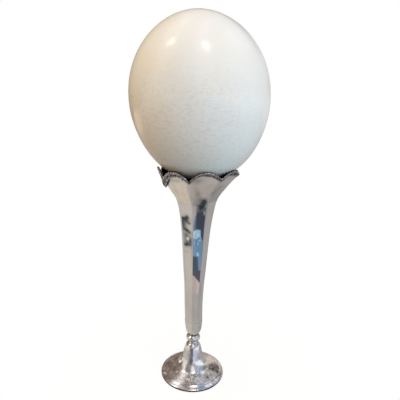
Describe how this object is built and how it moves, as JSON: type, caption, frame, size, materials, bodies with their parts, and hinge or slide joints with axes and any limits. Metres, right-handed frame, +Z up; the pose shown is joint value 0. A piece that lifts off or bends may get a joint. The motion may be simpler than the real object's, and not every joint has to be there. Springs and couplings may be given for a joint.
{
  "type": "ostrich egg on a trumpet vase stand",
  "caption": "Blown ostrich egg standing upright in the lobed mouth of an old octagonal silver trumpet vase with a cast scroll border, a knop and a round bell foot.",
  "frame": {"origin": "on the surface that the foot stands on, under the middle of the object", "axes": "+Z up through the stand and the egg, -Y towards the side that the object is seen from"},
  "size_m": [0.1306, 0.1302, 0.3629],
  "materials": {
    "eggshell": "cream eggshell with fine pores, softly glossy",
    "silver": "old polished silver with dents and fine scratches",
    "border_silver": "cast silver with dark tarnish in its hollows"
  },
  "bodies": {
    "root": {"egg": "eggshell", "trumpet": "silver", "rim_border": "border_silver", "base_cup": "silver", "knop": "silver", "foot": "silver"}
  },
  "joints": []
}
